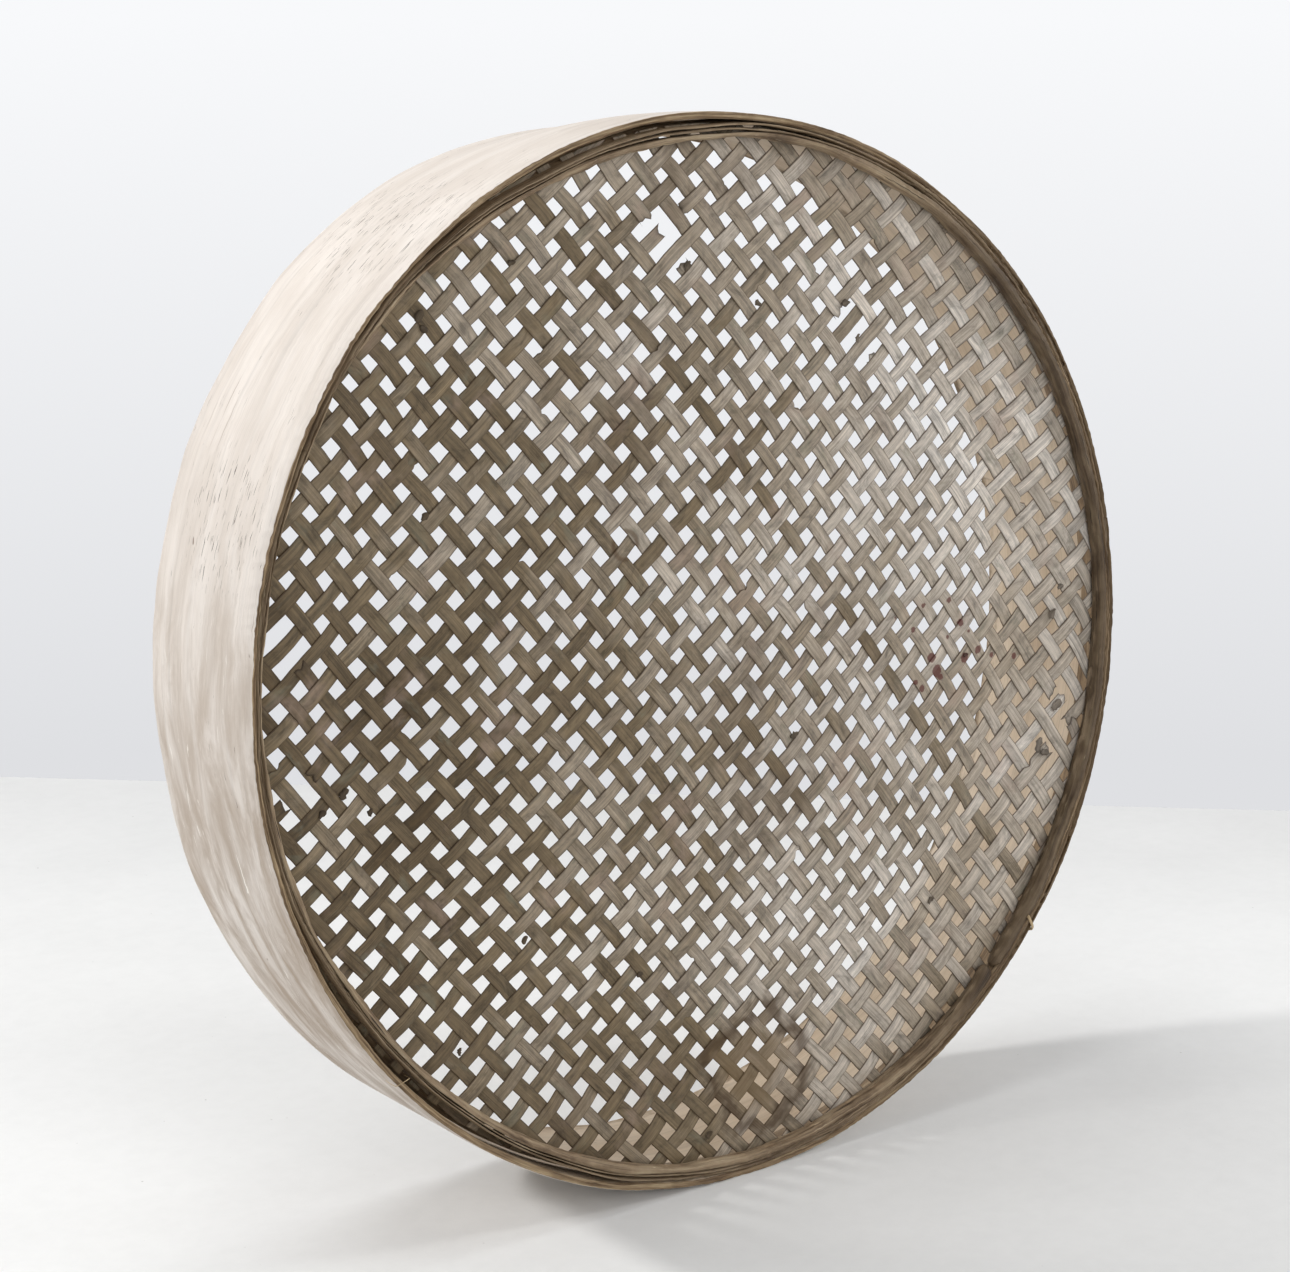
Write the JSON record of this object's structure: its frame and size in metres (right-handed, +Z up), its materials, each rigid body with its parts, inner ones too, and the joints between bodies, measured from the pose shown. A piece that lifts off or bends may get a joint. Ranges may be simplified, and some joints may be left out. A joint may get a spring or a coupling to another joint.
{
  "type": "bamboo steamer basket",
  "caption": "Large round bentwood basket with a deep wall, a thick foot ring and an open plaited bamboo base, standing on its edge.",
  "frame": {"origin": "on the floor under the middle of the hoop, at half the wall's width", "axes": "+Z up from the floor through the hoop's middle, +Y along the hoop's axis from the plaited foot side to the deep open side"},
  "size_m": [0.78, 0.14, 0.7783],
  "materials": {
    "wall_bamboo": "matte",
    "hoop_bamboo": "matte",
    "lip_bamboo": "satin",
    "splint_bamboo": "matte",
    "cane": "matte"
  },
  "bodies": {
    "root": {"clamp_hoop_inner": "hoop_bamboo", "clamp_hoop_outer": "hoop_bamboo", "falling_splints_01_02": "splint_bamboo", "falling_splints_03_04": "splint_bamboo", "falling_splints_05_06": "splint_bamboo", "falling_splints_07_08": "splint_bamboo", "falling_splints_09_10": "splint_bamboo", "falling_splints_11_12": "splint_bamboo", "falling_splints_13_14": "splint_bamboo", "falling_splints_15_16": "splint_bamboo", "falling_splints_17_18": "splint_bamboo", "falling_splints_19_20": "splint_bamboo", "falling_splints_21_22": "splint_bamboo", "falling_splints_23_24": "splint_bamboo", "falling_splints_25_26": "splint_bamboo", "falling_splints_27_28": "splint_bamboo", "falling_splints_29_30": "splint_bamboo", "falling_splints_31_32": "splint_bamboo", "falling_splints_33_34": "splint_bamboo", "falling_splints_35_36": "splint_bamboo", "falling_splints_37_38": "splint_bamboo", "lip_ring": "lip_bamboo", "outer_wall_band": "wall_bamboo", "rim_stitch_left": "cane", "rim_stitch_right": "cane", "rising_splint_37": "splint_bamboo", "rising_splints_01_02": "splint_bamboo", "rising_splints_03_04": "splint_bamboo", "rising_splints_05_06": "splint_bamboo", "rising_splints_07_08": "splint_bamboo", "rising_splints_09_10": "splint_bamboo", "rising_splints_11_12": "splint_bamboo", "rising_splints_13_14": "splint_bamboo", "rising_splints_15_16": "splint_bamboo", "rising_splints_17_18": "splint_bamboo", "rising_splints_19_20": "splint_bamboo", "rising_splints_21_22": "splint_bamboo", "rising_splints_23_24": "splint_bamboo", "rising_splints_25_26": "splint_bamboo", "rising_splints_27_28": "splint_bamboo", "rising_splints_29_30": "splint_bamboo", "rising_splints_31_32": "splint_bamboo", "rising_splints_33_34": "splint_bamboo", "rising_splints_35_36": "splint_bamboo"}
  },
  "joints": []
}
